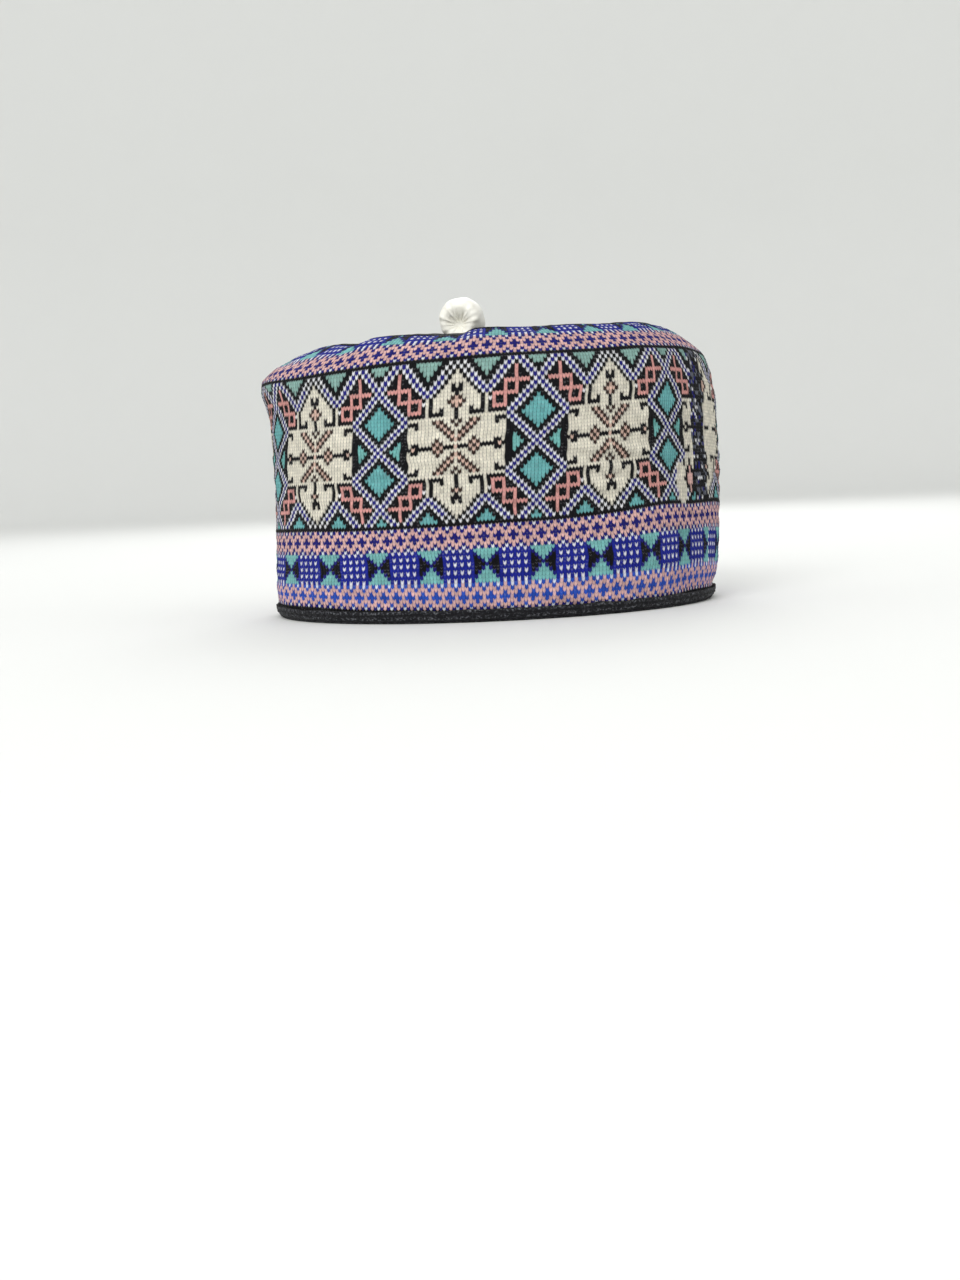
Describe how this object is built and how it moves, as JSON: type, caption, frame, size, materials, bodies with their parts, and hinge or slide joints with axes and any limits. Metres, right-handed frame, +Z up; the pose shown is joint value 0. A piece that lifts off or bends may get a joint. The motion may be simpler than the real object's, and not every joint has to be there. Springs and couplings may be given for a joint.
{
  "type": "hausa cap",
  "caption": "Tall oval brimless cap: a hollow patterned knit band folded over a soft shoulder, a sewn-in crown panel, a folded rim binding and a stuffed stub on the crown.",
  "frame": {"origin": "middle of the cap's box at the rim, on the surface that the rim rests on", "axes": "+Z up through the crown, +X towards the wearer's forehead, -Y towards the wearer's right ear"},
  "size_m": [0.2109, 0.1782, 0.142],
  "materials": {
    "patterned_knit": "matt jacquard knit in cream, teal, salmon, blue, navy, white, brown and black yarn",
    "black_knit": "matt fine black knit",
    "black_binding": "matt ribbed black tape",
    "white_satin": "soft ivory satin, gathered at its end"
  },
  "bodies": {
    "root": {"band": "patterned_knit", "crown": "black_knit", "rim_binding": "black_binding", "stub": "white_satin"}
  },
  "joints": []
}
